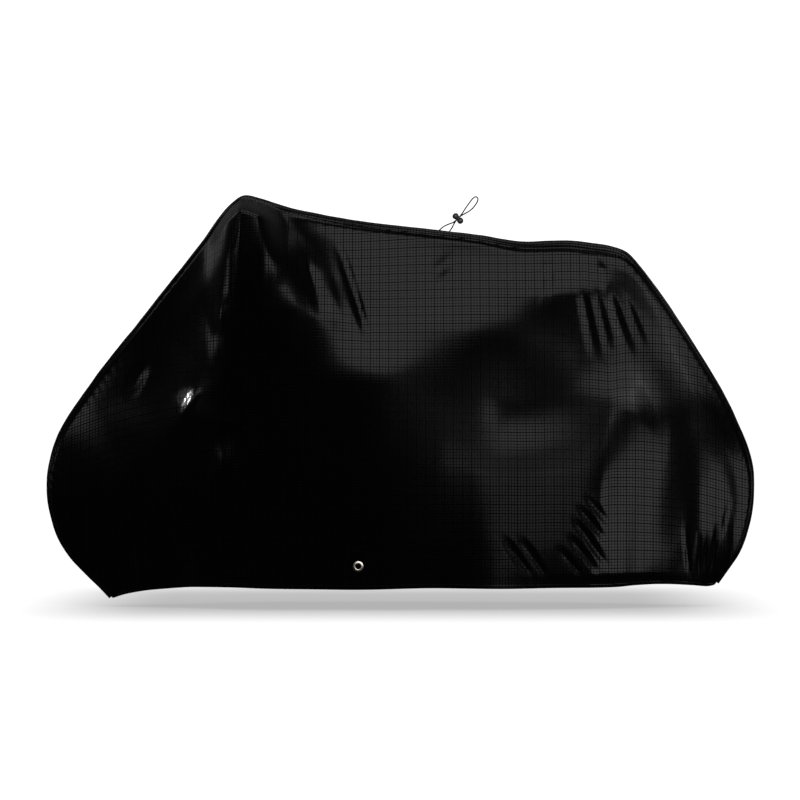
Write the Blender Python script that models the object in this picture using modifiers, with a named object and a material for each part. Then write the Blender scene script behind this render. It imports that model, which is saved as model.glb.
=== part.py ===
"""Fitted bicycle cover, as it hangs over a standing bicycle.

Metres, +Z up. The origin is on the underside of the top, where the middle of the handlebar carries it.
+X runs from the handlebar to the saddle, -Y is the near side, and the wheels stand 1.148 m below the origin.
Run with: blender --background --python part.py
"""
import math
from collections import namedtuple

import bmesh
import bpy
import numpy as np
from mathutils import Matrix, Vector

# ---------------------------------------------------------------- driving dimensions
CLOTH = 0.002            # thickness of the ripstop cloth with its seam allowances
PATCH_CLOTH = 0.0015     # thickness of the reinforcement behind each eyelet
GAP = 0.0003             # clearance between pieces that touch
SEAM_OPENING = 0.0010    # clearance between cloth edges that meet along a seam

LENGTHWISE_CELLS = 44    # columns of cells from the front hem corner to the rear one
PANEL_CELLS = 18         # rows of cells from the top seam to the hem
GUSSET_CELLS = 4         # cells from the middle of the gusset to each seam
ROW_CROWDING = 0.115     # how far the panel's rows are drawn towards the seam and the hem

GUSSET_LEVEL = 0.55      # part of the gusset's half width that leaves the ridge level
GUSSET_TURN = 0.45       # part of it over which the edge turns into the panel's direction
GUSSET_TURN_DEPTH = 0.85 # most of the seam's drop that this turn may take

EYELET_X = 0.319
EYELET_ABOVE_HEM = 0.064
EYELET_HOLE_R = 0.0075
EYELET_BARREL_R = 0.0087
EYELET_FRONT_R = 0.015
EYELET_BACK_R = 0.013
EYELET_METAL = 0.0012
PATCH_HALF_WIDTH = 0.036
PATCH_ROWS = 4                 # rows of the panel's cells that the patch covers, up from the hem
PATCH_SHORT_OF_HEM = 0.25      # part of the lowest row that stays free below the patch
PUNCHED_R = EYELET_BARREL_R + GAP

CORD_R = 0.00175
LOCK_CENTRE = Vector((0.5964, 0.012, -0.0623))
LOCK_AXIS = Vector((0.71, 0.0, -0.70)).normalized()
LOCK_BALL_R = 0.009
LOCK_HALF_SPACING = 0.009
LOCK_BARREL_R = 0.0070
LOCK_BORE_R = 0.0058
LOCK_STEM_R = LOCK_BORE_R - GAP
LOCK_SLOT = (0.0084, 0.0047)   # across the two strands, and along the lock's axis

# Where the cloth changes direction between the top seam and the hem, as fractions of that distance.
LEVELS = np.array([0.0, 0.05, 0.15, 0.38, 0.70, 1.0])

# One row for each section, front hem corner to rear hem corner. crest is the ridge line of the gusset and
# hem the lower edge, both seen from the side. drop is how far the seam lies inside the crest, and the
# widths are half widths of the cover at LEVELS.
Section = namedtuple(
    "Section",
    "name crest_x crest_z hem_x hem_z drop seam_w shoulder_w chest_w upper_w belly_w hem_w",
)
SECTIONS = [
    Section("front hem corner", -0.378, -1.125, -0.362, -1.121, 0.006, 0.050, 0.050, 0.051, 0.053, 0.056, 0.058),
    Section("under front tyre", -0.512, -0.977, -0.326, -1.110, 0.006, 0.050, 0.052, 0.056, 0.062, 0.068, 0.066),
    Section("front of tyre", -0.554, -0.809, -0.266, -1.099, 0.007, 0.050, 0.055, 0.062, 0.078, 0.092, 0.084),
    Section("over front tyre", -0.526, -0.678, -0.210, -1.093, 0.007, 0.054, 0.062, 0.075, 0.104, 0.122, 0.106),
    Section("fork", -0.434, -0.529, -0.154, -1.088, 0.008, 0.060, 0.072, 0.096, 0.140, 0.160, 0.135),
    Section("front slope", -0.294, -0.350, -0.104, -1.086, 0.009, 0.066, 0.086, 0.124, 0.186, 0.205, 0.172),
    Section("below handlebar", -0.126, -0.137, -0.053, -1.085, 0.010, 0.076, 0.118, 0.186, 0.244, 0.240, 0.205),
    Section("before handlebar", -0.036, -0.020, -0.014, -1.085, 0.010, 0.086, 0.246, 0.274, 0.272, 0.252, 0.218),
    Section("handlebar", 0.000, 0.001, 0.025, -1.086, 0.010, 0.090, 0.282, 0.290, 0.276, 0.255, 0.224),
    Section("behind handlebar", 0.048, -0.009, 0.064, -1.087, 0.011, 0.089, 0.270, 0.286, 0.276, 0.256, 0.228),
    Section("stem", 0.126, -0.033, 0.126, -1.088, 0.013, 0.087, 0.172, 0.236, 0.264, 0.257, 0.233),
    Section("head tube", 0.294, -0.066, 0.280, -1.090, 0.015, 0.085, 0.102, 0.156, 0.226, 0.255, 0.238),
    Section("top tube", 0.546, -0.098, 0.518, -1.086, 0.016, 0.081, 0.090, 0.122, 0.190, 0.244, 0.238),
    Section("saddle nose", 0.756, -0.127, 0.714, -1.088, 0.019, 0.078, 0.084, 0.102, 0.158, 0.220, 0.222),
    Section("saddle", 0.944, -0.126, 0.868, -1.087, 0.025, 0.075, 0.081, 0.091, 0.138, 0.192, 0.198),
    Section("saddle back", 1.050, -0.151, 0.952, -1.087, 0.022, 0.072, 0.078, 0.088, 0.126, 0.168, 0.178),
    Section("behind saddle", 1.112, -0.210, 1.008, -1.087, 0.010, 0.069, 0.074, 0.084, 0.116, 0.148, 0.160),
    Section("rear slope", 1.260, -0.420, 1.084, -1.083, 0.009, 0.063, 0.067, 0.076, 0.098, 0.118, 0.128),
    Section("over rear tyre", 1.366, -0.605, 1.148, -1.081, 0.010, 0.059, 0.062, 0.069, 0.083, 0.096, 0.104),
    Section("back of tyre", 1.420, -0.753, 1.201, -1.082, 0.011, 0.056, 0.058, 0.063, 0.072, 0.081, 0.086),
    Section("behind rear tyre", 1.421, -0.865, 1.246, -1.085, 0.011, 0.054, 0.056, 0.059, 0.065, 0.071, 0.073),
    Section("under rear tyre", 1.380, -1.005, 1.291, -1.089, 0.010, 0.052, 0.053, 0.055, 0.058, 0.061, 0.062),
    Section("rear hem corner", 1.324, -1.084, 1.309, -1.086, 0.006, 0.050, 0.050, 0.051, 0.053, 0.055, 0.056),
]

# Folds as soft ridges (height above zero) or troughs (below zero) that run from one point to another, seen
# from the side. width is from the fold's middle to where it dies out.
Fold = namedtuple("Fold", "name from_x from_z to_x to_z width height")
NEAR_FOLDS = [
    Fold("curtain below bar end", -0.01, -0.10, -0.04, -0.86, 0.075, 0.014),
    Fold("hollow behind curtain", 0.08, -0.20, 0.07, -0.80, 0.085, -0.010),
    Fold("pull to the crank", 0.13, -0.10, 0.39, -0.48, 0.070, -0.010),
    Fold("swell beside the pull", 0.20, -0.09, 0.49, -0.44, 0.080, 0.008),
    Fold("pinch before saddle", 0.83, -0.16, 0.79, -0.42, 0.050, -0.008),
    Fold("swell at saddle", 0.91, -0.16, 0.93, -0.34, 0.055, 0.007),
    Fold("first saddle fan", 0.95, -0.24, 1.00, -0.52, 0.050, -0.007),
    Fold("second saddle fan", 1.00, -0.22, 1.10, -0.52, 0.050, 0.007),
    Fold("pull over rear tyre", 1.06, -0.52, 1.33, -0.62, 0.080, -0.010),
    Fold("first low crease", 0.88, -0.84, 1.04, -1.08, 0.055, -0.009),
    Fold("second low crease", 0.96, -0.80, 1.12, -1.04, 0.055, 0.008),
    Fold("third low crease", 0.74, -0.98, 0.86, -1.10, 0.050, -0.008),
    Fold("rear gather", 1.22, -0.86, 1.28, -1.08, 0.045, -0.007),
    Fold("front gather", -0.40, -0.90, -0.31, -1.10, 0.055, -0.006),
]
FAR_FOLDS = [
    Fold("curtain below bar end", -0.01, -0.10, -0.02, -0.90, 0.080, 0.014),
    Fold("hollow behind curtain", 0.09, -0.22, 0.12, -0.92, 0.085, -0.010),
    Fold("pull to the crank", 0.16, -0.12, 0.52, -0.62, 0.075, -0.009),
    Fold("pinch before saddle", 0.80, -0.18, 0.74, -0.50, 0.055, -0.007),
    Fold("saddle fan", 1.00, -0.24, 1.12, -0.60, 0.055, 0.007),
    Fold("low crease", 0.86, -0.80, 1.06, -1.06, 0.060, -0.008),
    Fold("rear gather", 1.20, -0.84, 1.27, -1.08, 0.045, -0.007),
    Fold("front gather", -0.41, -0.88, -0.32, -1.10, 0.055, -0.006),
]

# The hem sways in and out between the gathers.
HEM_SWAY = 0.007
HEM_SWAY_LENGTH = 0.31
HEM_SWAY_REACH = 5.0

# Tie cord: out of the gusset, through the lock, round the loop, through the lock again and back.
CORD_ROUTE = [
    (0.5439, 0.0095, -0.0956),
    (0.5560, 0.0095, -0.0855),
    (0.5700, 0.0098, -0.0785),
    (0.5830, 0.0100, -0.0735),
    (0.5964, 0.0101, -0.0623),
    (0.6070, 0.0101, -0.0500),
    (0.6172, 0.0103, -0.0345),
    (0.6290, 0.0106, -0.0178),
    (0.6400, 0.0113, -0.0048),
    (0.6437, 0.0117, -0.0022),
    (0.6478, 0.0121, -0.0019),
    (0.6511, 0.0125, -0.0042),
    (0.6527, 0.0129, -0.0083),
    (0.6516, 0.0133, -0.0131),
    (0.6468, 0.0136, -0.0219),
    (0.6385, 0.0139, -0.0327),
    (0.6275, 0.0140, -0.0420),
    (0.6150, 0.0139, -0.0490),
    (0.6050, 0.0139, -0.0550),
    (0.5964, 0.0139, -0.0623),
    (0.5895, 0.0139, -0.0705),
    (0.5845, 0.0140, -0.0790),
    (0.5797, 0.0142, -0.0885),
    (0.5731, 0.0145, -0.0978),
]
CORD_POINT_SPACING = 2.0 * 2 * CORD_R

# ---------------------------------------------------------------- scene helpers
for old in list(bpy.data.objects):
    bpy.data.objects.remove(old, do_unlink=True)

PARTS = bpy.data.collections.new("bicycle_cover")
CUTTERS = bpy.data.collections.new("cutters")
bpy.context.scene.collection.children.link(PARTS)
bpy.context.scene.collection.children.link(CUTTERS)


def material(name, colour, roughness, metallic=0.0):
    made = bpy.data.materials.new(name)
    made.use_nodes = True
    shader = made.node_tree.nodes["Principled BSDF"]
    shader.inputs["Base Color"].default_value = (*colour, 1.0)
    shader.inputs["Roughness"].default_value = roughness
    shader.inputs["Metallic"].default_value = metallic
    return made


def add_object(name, data, made, collection=PARTS):
    placed = bpy.data.objects.new(name, data)
    collection.objects.link(placed)
    if made is not None:
        data.materials.append(made)
    return placed


def grid_mesh(name, points):
    """Open surface of quads over points[column][row]; its faces look along column x row."""
    columns, rows = points.shape[:2]
    mesh = bpy.data.meshes.new(name)
    corners = [
        (c * rows + r, (c + 1) * rows + r, (c + 1) * rows + r + 1, c * rows + r + 1)
        for c in range(columns - 1)
        for r in range(rows - 1)
    ]
    mesh.from_pydata(points.reshape(-1, 3).tolist(), [], corners)
    mesh.validate()
    mesh.shade_smooth()
    return mesh


def solidify(shell, thickness):
    modifier = shell.modifiers.new("cloth", "SOLIDIFY")
    modifier.thickness = thickness
    modifier.offset = 0.0
    modifier.use_even_offset = False


def cut(target, cutter):
    cutter.hide_render = True
    cutter.display_type = "WIRE"
    modifier = target.modifiers.new("cut", "BOOLEAN")
    modifier.operation = "DIFFERENCE"
    modifier.solver = "EXACT"
    modifier.object = cutter


# ---------------------------------------------------------------- the cover's form
def rounded_slopes(knots, values):
    """Slopes that carry a smooth line through every value."""
    return np.gradient(values, knots, axis=0)


def level_slopes(knots, values):
    """Slopes that never carry the line beyond its neighbouring values."""
    rise = np.diff(values, axis=0) / np.diff(knots)[:, None]
    before, after = rise[:-1], rise[1:]
    turning = before * after <= 0
    shared = 2 * before * after / np.where(turning, 1.0, before + after)
    return np.vstack([rise[:1], np.where(turning, 0.0, shared), rise[-1:]])


def between(knots, values, slopes, at):
    """Cubic Hermite line through values at knots, read at each place in at."""
    at = np.clip(at, knots[0], knots[-1])
    i = np.clip(np.searchsorted(knots, at, side="right") - 1, 0, len(knots) - 2)
    span = (knots[i + 1] - knots[i])[:, None]
    s = ((at - knots[i])[:, None]) / span
    return (
        (1 + 2 * s) * (1 - s) ** 2 * values[i]
        + s * (1 - s) ** 2 * span * slopes[i]
        + s * s * (3 - 2 * s) * values[i + 1]
        + s * s * (s - 1) * span * slopes[i + 1]
    )


def section_columns(*names):
    return np.array([[getattr(row, name) for name in names] for row in SECTIONS])


LINES = section_columns("crest_x", "crest_z", "hem_x", "hem_z")
WIDTHS = section_columns("drop", "seam_w", "shoulder_w", "chest_w", "upper_w", "belly_w", "hem_w")
STEPS = np.hypot(*np.diff(LINES[:, :2], axis=0).T) + np.hypot(*np.diff(LINES[:, 2:], axis=0).T)
STATIONS = np.concatenate([[0.0], np.cumsum(STEPS / STEPS.sum())])
LINE_SLOPES = rounded_slopes(STATIONS, LINES)
WIDTH_SLOPES = level_slopes(STATIONS, WIDTHS)


def section_at(u):
    """Crest, inward direction, hem, drop and half widths at each station u from 0 to 1."""
    step = 1e-4
    lines = between(STATIONS, LINES, LINE_SLOPES, u)
    ahead = between(STATIONS, LINES, LINE_SLOPES, u + step)[:, :2]
    behind = between(STATIONS, LINES, LINE_SLOPES, u - step)[:, :2]
    along = ahead - behind
    along /= np.linalg.norm(along, axis=1)[:, None]
    inward = np.stack([along[:, 1], -along[:, 0]], axis=1)
    widths = between(STATIONS, WIDTHS, WIDTH_SLOPES, u)
    return lines[:, :2], inward, lines[:, 2:], widths[:, :1], widths[:, 1:]


def fold_relief(folds, x, z):
    """How far the folds stand out at each side-view point."""
    relief = np.zeros_like(x)
    for fold in folds:
        run = np.array([fold.to_x - fold.from_x, fold.to_z - fold.from_z])
        length = np.linalg.norm(run)
        run /= length
        along = ((x - fold.from_x) * run[0] + (z - fold.from_z) * run[1]) / length
        across = (x - fold.from_x) * run[1] - (z - fold.from_z) * run[0]
        taper = np.sin(math.pi * np.clip(along, 0.0, 1.0))
        crown = np.cos(0.5 * math.pi * np.clip(across / fold.width, -1.0, 1.0)) ** 2
        relief += fold.height * taper * crown
    return relief


def panel_points(u, t, folds):
    """Middle of a side panel's cloth: one column for each station in u, one row for each fraction of the way
    down from the seam in t[column]."""
    crest, inward, hem, drop, widths = section_at(u)
    seam = crest + drop * inward
    side = seam[:, None, :] + (hem - seam)[:, None, :] * t[:, :, None]
    width = np.stack([
        between(LEVELS, row[:, None], level_slopes(LEVELS, row[:, None]), down)[:, 0]
        for row, down in zip(widths, t)
    ])
    x, z = side[..., 0], side[..., 1]
    clear_of_seam = np.clip(t / LEVELS[2], 0.0, 1.0)
    sway = HEM_SWAY * np.sin(2 * math.pi * x / HEM_SWAY_LENGTH) * t ** HEM_SWAY_REACH
    sway *= np.sin(math.pi * u)[:, None]
    out = width + fold_relief(folds, x, z) * clear_of_seam + sway
    return np.stack([x, -out, z], axis=-1)


def mirrored(points, side):
    """side is -1 for the near side and +1 for the far one."""
    return points * np.array([1.0, -side, 1.0])


def row_fractions():
    """Rows drawn closer together at the seam and at the hem."""
    s = np.linspace(0.0, 1.0, PANEL_CELLS + 1)
    return s - ROW_CROWDING * np.sin(2 * math.pi * s)


def station_at(x):
    """Station whose hem point lies at x."""
    low, high = 0.0, 1.0
    for _ in range(40):
        middle = 0.5 * (low + high)
        if section_at(np.array([middle]))[2][0, 0] < x:
            low = middle
        else:
            high = middle
    return low


PATCH_STATIONS = (station_at(EYELET_X - PATCH_HALF_WIDTH), station_at(EYELET_X + PATCH_HALF_WIDTH))


def stations():
    """Evenly spaced columns, with the one nearest to each side of the patch moved onto it."""
    even = np.linspace(0.0, 1.0, LENGTHWISE_CELLS + 1)
    for edge in PATCH_STATIONS:
        even[np.argmin(abs(even - edge))] = edge
    return even


def start_heading(u, folds):
    """Travel of the cloth for a whole step in t, just below the seam."""
    step = 2e-3
    rows = np.tile([0.0, step], (len(u), 1))
    start = panel_points(u, rows, folds)
    return (start[:, 1] - start[:, 0]) / step


# ---------------------------------------------------------------- side panels
def panel_grid(folds):
    u = stations()
    setback = 0.5 * SEAM_OPENING / np.linalg.norm(start_heading(u, folds), axis=1)
    t = setback[:, None] + (1.0 - setback)[:, None] * row_fractions()[None, :]
    points = panel_points(u, t, folds)
    flatten(points[patch_columns(), -PATCH_ROWS - 1:])
    return points


def patch_columns():
    first, last = np.searchsorted(stations(), PATCH_STATIONS)
    return slice(first, last + 1)


def flatten(patch):
    """The doubled cloth at the eyelet hangs in one plane, the one nearest to its corners."""
    corners = patch[[0, 0, -1, -1], [0, -1, 0, -1]]
    terms = np.column_stack([np.ones(4), corners[:, [0, 2]]])
    plane = np.linalg.lstsq(terms, corners[:, 1], rcond=None)[0]
    patch[..., 1] = plane[0] + patch[..., [0, 2]] @ plane[1:]


def add_sheet(name, points, side, thickness, made):
    points = mirrored(points, side)
    if side < 0:
        points = points[::-1]
    sheet = add_object(name, grid_mesh(name, points), made)
    solidify(sheet, thickness)
    return sheet


# ---------------------------------------------------------------- centre gusset
def gusset_half(u, folds):
    """Cross sections of the gusset from its ridge to one seam, each leaving square to the ridge line and
    running into the panel's own direction at the seam."""
    crest, inward, hem, drop, widths = section_at(u)
    falling = start_heading(u, folds)
    outward = -falling[:, 1]
    downward = falling[:, 0] * inward[:, 0] + falling[:, 2] * inward[:, 1]
    length = np.hypot(outward, downward)
    heading = np.stack([outward, downward], axis=1) / length[:, None]
    seam = np.hstack([widths[:, :1], drop]) - heading * 0.5 * SEAM_OPENING
    steepness = np.maximum(heading[:, 1], 1e-3)
    reach = np.minimum(GUSSET_TURN * seam[:, 0], GUSSET_TURN_DEPTH * seam[:, 1] / steepness)
    pulls = [
        np.zeros_like(seam),
        np.stack([GUSSET_LEVEL * seam[:, 0], np.zeros(len(u))], axis=1),
        seam - heading * reach[:, None],
        seam,
    ]
    s = np.sin(0.5 * math.pi * np.linspace(0.0, 1.0, GUSSET_CELLS + 1))
    blend = [(1 - s) ** 3, 3 * s * (1 - s) ** 2, 3 * s * s * (1 - s), s ** 3]
    arch = sum(b[None, :, None] * p[:, None, :] for b, p in zip(blend, pulls))
    x = crest[:, :1] + inward[:, :1] * arch[..., 1]
    z = crest[:, 1:] + inward[:, 1:] * arch[..., 1]
    return np.stack([x, -arch[..., 0], z], axis=-1)


def centre_gusset(name, made):
    u = stations()
    near = gusset_half(u, NEAR_FOLDS)
    far = mirrored(gusset_half(u, FAR_FOLDS), 1)
    points = np.concatenate([near[:, ::-1], far[:, 1:]], axis=1)
    gusset = add_object(name, grid_mesh(name, points), made)
    solidify(gusset, CLOTH)


# ---------------------------------------------------------------- eyelets and their patches
def eyelet_frame(side, folds):
    """Centre of the eyelet in the cloth, with its Z axis pointing out of the cover."""
    patch = mirrored(panel_grid(folds)[patch_columns(), -PATCH_ROWS - 1:], side)
    top, low = Vector(0.5 * (patch[0, 0] + patch[-1, 0])), Vector(0.5 * (patch[0, -1] + patch[-1, -1]))
    down = (low - top).normalized()
    along = Vector(patch[-1, -1] + patch[-1, 0] - patch[0, -1] - patch[0, 0]).normalized()
    outward = along.cross(down).normalized()
    if outward.y * side < 0:
        outward.negate()
    axes = Matrix((down.cross(outward), down, outward)).transposed()
    return Matrix.Translation(low - EYELET_ABOVE_HEM * down) @ axes.to_4x4()


def punch(name, place):
    bore = bmesh.new()
    bmesh.ops.create_cone(
        bore, cap_ends=True, segments=28, radius1=PUNCHED_R, radius2=PUNCHED_R, depth=0.03
    )
    mesh = bpy.data.meshes.new(name)
    bore.to_mesh(mesh)
    bore.free()
    cutter = add_object(name, mesh, None, CUTTERS)
    cutter.matrix_world = place
    return cutter


def eyelet_patch(name, side, folds, made):
    """Square of the same cloth sewn inside the hem, on the panel's own columns and rows."""
    points = panel_grid(folds)[patch_columns(), -PATCH_ROWS - 1:].copy()
    points[:, -1] += PATCH_SHORT_OF_HEM * (points[:, -2] - points[:, -1])
    points[..., 1] += 0.5 * CLOTH + GAP + 0.5 * PATCH_CLOTH
    return add_sheet(name, points, side, PATCH_CLOTH, made)


def eyelet_ring(name, side, folds, made):
    """Rolled metal eyelet: front flange, barrel and back flange in one closed section."""
    front = 0.5 * CLOTH + GAP
    back = -(0.5 * CLOTH + GAP + PATCH_CLOTH + GAP)
    flange_mid = 0.5 * (EYELET_HOLE_R + EYELET_FRONT_R)
    section = [
        (EYELET_HOLE_R, front + 0.2 * EYELET_METAL),
        (EYELET_HOLE_R + 0.25 * (EYELET_FRONT_R - EYELET_HOLE_R), front + 1.3 * EYELET_METAL),
        (flange_mid, front + 1.6 * EYELET_METAL),
        (EYELET_FRONT_R - 0.0012, front + 1.15 * EYELET_METAL),
        (EYELET_FRONT_R, front + 0.4 * EYELET_METAL),
        (EYELET_FRONT_R - 0.0003, front),
        (EYELET_BARREL_R, front),
        (EYELET_BARREL_R, back),
        (EYELET_BACK_R, back),
        (EYELET_BACK_R - 0.0004, back - 0.8 * EYELET_METAL),
        (EYELET_HOLE_R + 0.0008, back - 0.8 * EYELET_METAL),
        (EYELET_HOLE_R, back),
    ]
    mesh = bpy.data.meshes.new(name)
    count = len(section)
    mesh.from_pydata([(r, 0.0, h) for r, h in section], [(k, (k + 1) % count) for k in range(count)], [])
    ring = add_object(name, mesh, made)
    screw = ring.modifiers.new("turn", "SCREW")
    screw.steps = 28
    screw.render_steps = 28
    screw.use_merge_vertices = True
    screw.merge_threshold = 1e-5
    screw.use_smooth_shade = True
    ring.matrix_world = eyelet_frame(side, folds)
    return ring


# ---------------------------------------------------------------- tie cord and its lock
def smooth_route(route, spacing):
    """Evenly spaced points on a smooth curve through the route."""
    points = np.array(route)
    knots = np.concatenate([[0.0], np.cumsum(np.linalg.norm(np.diff(points, axis=0), axis=1))])
    slopes = rounded_slopes(knots, points)
    fine = between(knots, points, slopes, np.linspace(0.0, knots[-1], 800))
    walked = np.concatenate([[0.0], np.cumsum(np.linalg.norm(np.diff(fine, axis=0), axis=1))])
    wanted = np.linspace(0.0, walked[-1], int(round(walked[-1] / spacing)) + 1)
    return np.stack([np.interp(wanted, walked, fine[:, axis]) for axis in range(3)], axis=1)


def tie_cord(name, made):
    curve = bpy.data.curves.new(name, "CURVE")
    curve.dimensions = "3D"
    curve.bevel_depth = CORD_R
    curve.bevel_resolution = 2
    curve.use_fill_caps = True
    points = smooth_route(CORD_ROUTE, CORD_POINT_SPACING)
    spline = curve.splines.new("POLY")
    spline.points.add(len(points) - 1)
    for placed, point in zip(spline.points, points):
        placed.co = (*point, 1.0)
    return add_object(name, curve, made)


def lock_place():
    across = Vector((0.0, 1.0, 0.0))
    third = LOCK_AXIS.cross(across)
    return Matrix.Translation(LOCK_CENTRE) @ Matrix((across, third, LOCK_AXIS)).transposed().to_4x4()


def turned(name, profile, made):
    """Solid turned about its own Z axis from (radius, height) points that run down its outer side."""
    mesh = bpy.data.meshes.new(name)
    mesh.from_pydata([(r, 0.0, h) for r, h in profile], [(k, k + 1) for k in range(len(profile) - 1)], [])
    solid = add_object(name, mesh, made)
    screw = solid.modifiers.new("turn", "SCREW")
    screw.steps = 20
    screw.render_steps = 20
    screw.use_merge_vertices = True
    screw.merge_threshold = 1e-5
    screw.use_smooth_shade = True
    solid.matrix_world = lock_place()
    return solid


def ball_points(centre_h, from_deg, to_deg, count):
    angles = [math.radians(from_deg + (to_deg - from_deg) * k / count) for k in range(count + 1)]
    return [(LOCK_BALL_R * math.cos(a), centre_h + LOCK_BALL_R * math.sin(a)) for a in angles]


def cord_slot(name):
    """Straight flat-sided passage for the two strands, across the lock at its waist."""
    block = bmesh.new()
    bmesh.ops.create_cube(block, size=1.0)
    bmesh.ops.scale(block, vec=(LOCK_SLOT[0], 0.03, LOCK_SLOT[1]), verts=block.verts)
    mesh = bpy.data.meshes.new(name)
    block.to_mesh(mesh)
    block.free()
    cutter = add_object(name, mesh, None, CUTTERS)
    cutter.matrix_world = lock_place()
    return cutter


def cord_lock(made_body, made_button):
    """Ball-shaped body with a barrel, and a ball-headed button whose stem slides in the barrel."""
    meet = math.degrees(math.acos(LOCK_BARREL_R / LOCK_BALL_R))
    barrel_end = LOCK_HALF_SPACING - LOCK_BALL_R * math.sin(math.radians(meet)) - GAP
    stem_end = -0.0045
    bore_end = stem_end - GAP
    body_profile = [
        (LOCK_BORE_R, barrel_end),
        (LOCK_BARREL_R, barrel_end),
        *ball_points(-LOCK_HALF_SPACING, meet, -90.0, 12),
    ]
    body_profile = [(0.0, bore_end), (LOCK_BORE_R, bore_end)] + body_profile
    body = turned("cord_lock_body", body_profile, made_body)
    button_profile = [
        *ball_points(LOCK_HALF_SPACING, 90.0, -meet, 12),
        (LOCK_STEM_R, barrel_end + GAP),
        (LOCK_STEM_R, stem_end),
        (0.0, stem_end),
    ]
    button = turned("cord_lock_button", button_profile, made_button)
    for piece in (body, button):
        cut(piece, cord_slot(piece.name + "_slot"))


# ---------------------------------------------------------------- build
CLOTH_BLACK = material("ripstop_cloth", (0.012, 0.012, 0.013), 0.42)
METAL = material("nickel_eyelet", (0.70, 0.67, 0.62), 0.28, 1.0)
CORD_BLACK = material("elastic_cord", (0.015, 0.015, 0.016), 0.75)
LOCK_GREY = material("lock_plastic", (0.045, 0.045, 0.048), 0.45)

for label, side, folds in (("near", -1, NEAR_FOLDS), ("far", 1, FAR_FOLDS)):
    panel = add_sheet("side_panel_" + label, panel_grid(folds), side, CLOTH, CLOTH_BLACK)
    patch = eyelet_patch("eyelet_patch_" + label, side, folds, CLOTH_BLACK)
    for sheet in (panel, patch):
        cut(sheet, punch(sheet.name + "_punch", eyelet_frame(side, folds)))
    eyelet_ring("eyelet_" + label, side, folds, METAL)

centre_gusset("centre_gusset", CLOTH_BLACK)
tie_cord("tie_cord", CORD_BLACK)
cord_lock(LOCK_GREY, LOCK_GREY)
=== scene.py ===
import math

import bpy
import numpy as np
from mathutils import Matrix, Vector, noise


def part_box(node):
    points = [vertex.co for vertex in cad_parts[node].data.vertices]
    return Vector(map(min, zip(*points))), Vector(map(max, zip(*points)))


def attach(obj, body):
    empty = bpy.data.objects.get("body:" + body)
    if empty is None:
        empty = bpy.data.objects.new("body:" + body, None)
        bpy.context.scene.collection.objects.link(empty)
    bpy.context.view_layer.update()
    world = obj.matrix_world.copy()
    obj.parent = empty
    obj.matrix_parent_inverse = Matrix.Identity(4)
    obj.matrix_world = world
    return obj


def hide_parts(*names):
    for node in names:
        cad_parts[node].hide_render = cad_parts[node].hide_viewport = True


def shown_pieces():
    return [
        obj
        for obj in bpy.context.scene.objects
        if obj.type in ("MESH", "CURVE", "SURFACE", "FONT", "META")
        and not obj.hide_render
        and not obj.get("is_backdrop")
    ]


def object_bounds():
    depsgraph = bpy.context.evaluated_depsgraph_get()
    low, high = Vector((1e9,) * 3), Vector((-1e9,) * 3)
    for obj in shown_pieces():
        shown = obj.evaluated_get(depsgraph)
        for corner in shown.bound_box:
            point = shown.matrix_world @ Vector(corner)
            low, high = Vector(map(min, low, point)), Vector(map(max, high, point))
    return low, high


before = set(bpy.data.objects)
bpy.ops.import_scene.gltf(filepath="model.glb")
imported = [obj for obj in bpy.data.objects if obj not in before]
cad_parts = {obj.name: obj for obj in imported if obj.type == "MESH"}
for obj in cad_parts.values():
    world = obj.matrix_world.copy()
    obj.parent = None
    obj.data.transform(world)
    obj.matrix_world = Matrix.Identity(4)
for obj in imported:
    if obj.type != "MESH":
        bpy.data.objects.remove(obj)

cad_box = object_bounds()
scene = bpy.context.scene

# ---------- camera
# A level camera, square to the near side and ten metres off, so that the cover shows almost without
# perspective. It looks at the middle of the length, a little under half the height.
CAMERA_DISTANCE = 10.0
VIEW_WIDTH = 2.24
VIEW_AHEAD_OF_MIDDLE = 0.001
VIEW_BELOW_MIDDLE = 0.0095
SENSOR = 36.0

cover_low, cover_high = (np.array(corner) for corner in cad_box)
cover_middle = 0.5 * (cover_low + cover_high)
lens = bpy.data.cameras.new("camera")
lens.sensor_width = SENSOR
lens.lens = SENSOR * CAMERA_DISTANCE / VIEW_WIDTH
lens.clip_end = 100.0
camera = bpy.data.objects.new("camera", lens)
scene.collection.objects.link(camera)
camera.location = (
    cover_middle[0] - VIEW_AHEAD_OF_MIDDLE,
    -CAMERA_DISTANCE,
    cover_middle[2] - VIEW_BELOW_MIDDLE,
)
camera.rotation_euler = (math.radians(90.0), 0.0, 0.0)
scene.camera = camera

# ---------- ripstop cloth
# The cover is cut from thin black ripstop polyester: a plain weave with thicker threads doubled every few
# millimetres, dyed, calendered flat and coated inside, so it shines softly and shows as a fine grid.
DYED_BLACK = "010101"
WORN_BLACK = "030303"
# The real squares are 5 mm; they are drawn at 8.4 mm, and every third thread stronger, to show at all.
RIPSTOP_SQUARE = 0.0084
STRONG_SQUARE = 0.0252
RIB_WIDTH = 0.0020
STRONG_RIB_WIDER = 1.3
FINE_RIB_HEIGHT = 0.75
STRONG_RIB_HEIGHT = 0.55
RIB_RISE = 0.00018
WEAVE_THREAD = 0.0011
WEAVE_HEIGHT = 0.10
CALENDERED_ROUGHNESS = 0.17
RIB_ROUGHNESS = 0.24
WORN_ROUGHNESS = 0.04
WEAR_PER_METRE = 9.0
PLAIN_SHINE = 0.5
RIB_SHINE = 0.06
SLANTING_SHEEN = 0.20


def colour(code, alpha=1.0):
    """Linear colour from its sRGB hex code."""
    parts = [int(code[k:k + 2], 16) / 255.0 for k in (0, 2, 4)]
    linear = [p / 12.92 if p <= 0.04045 else ((p + 0.055) / 1.055) ** 2.4 for p in parts]
    return (*linear, alpha)


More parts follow.
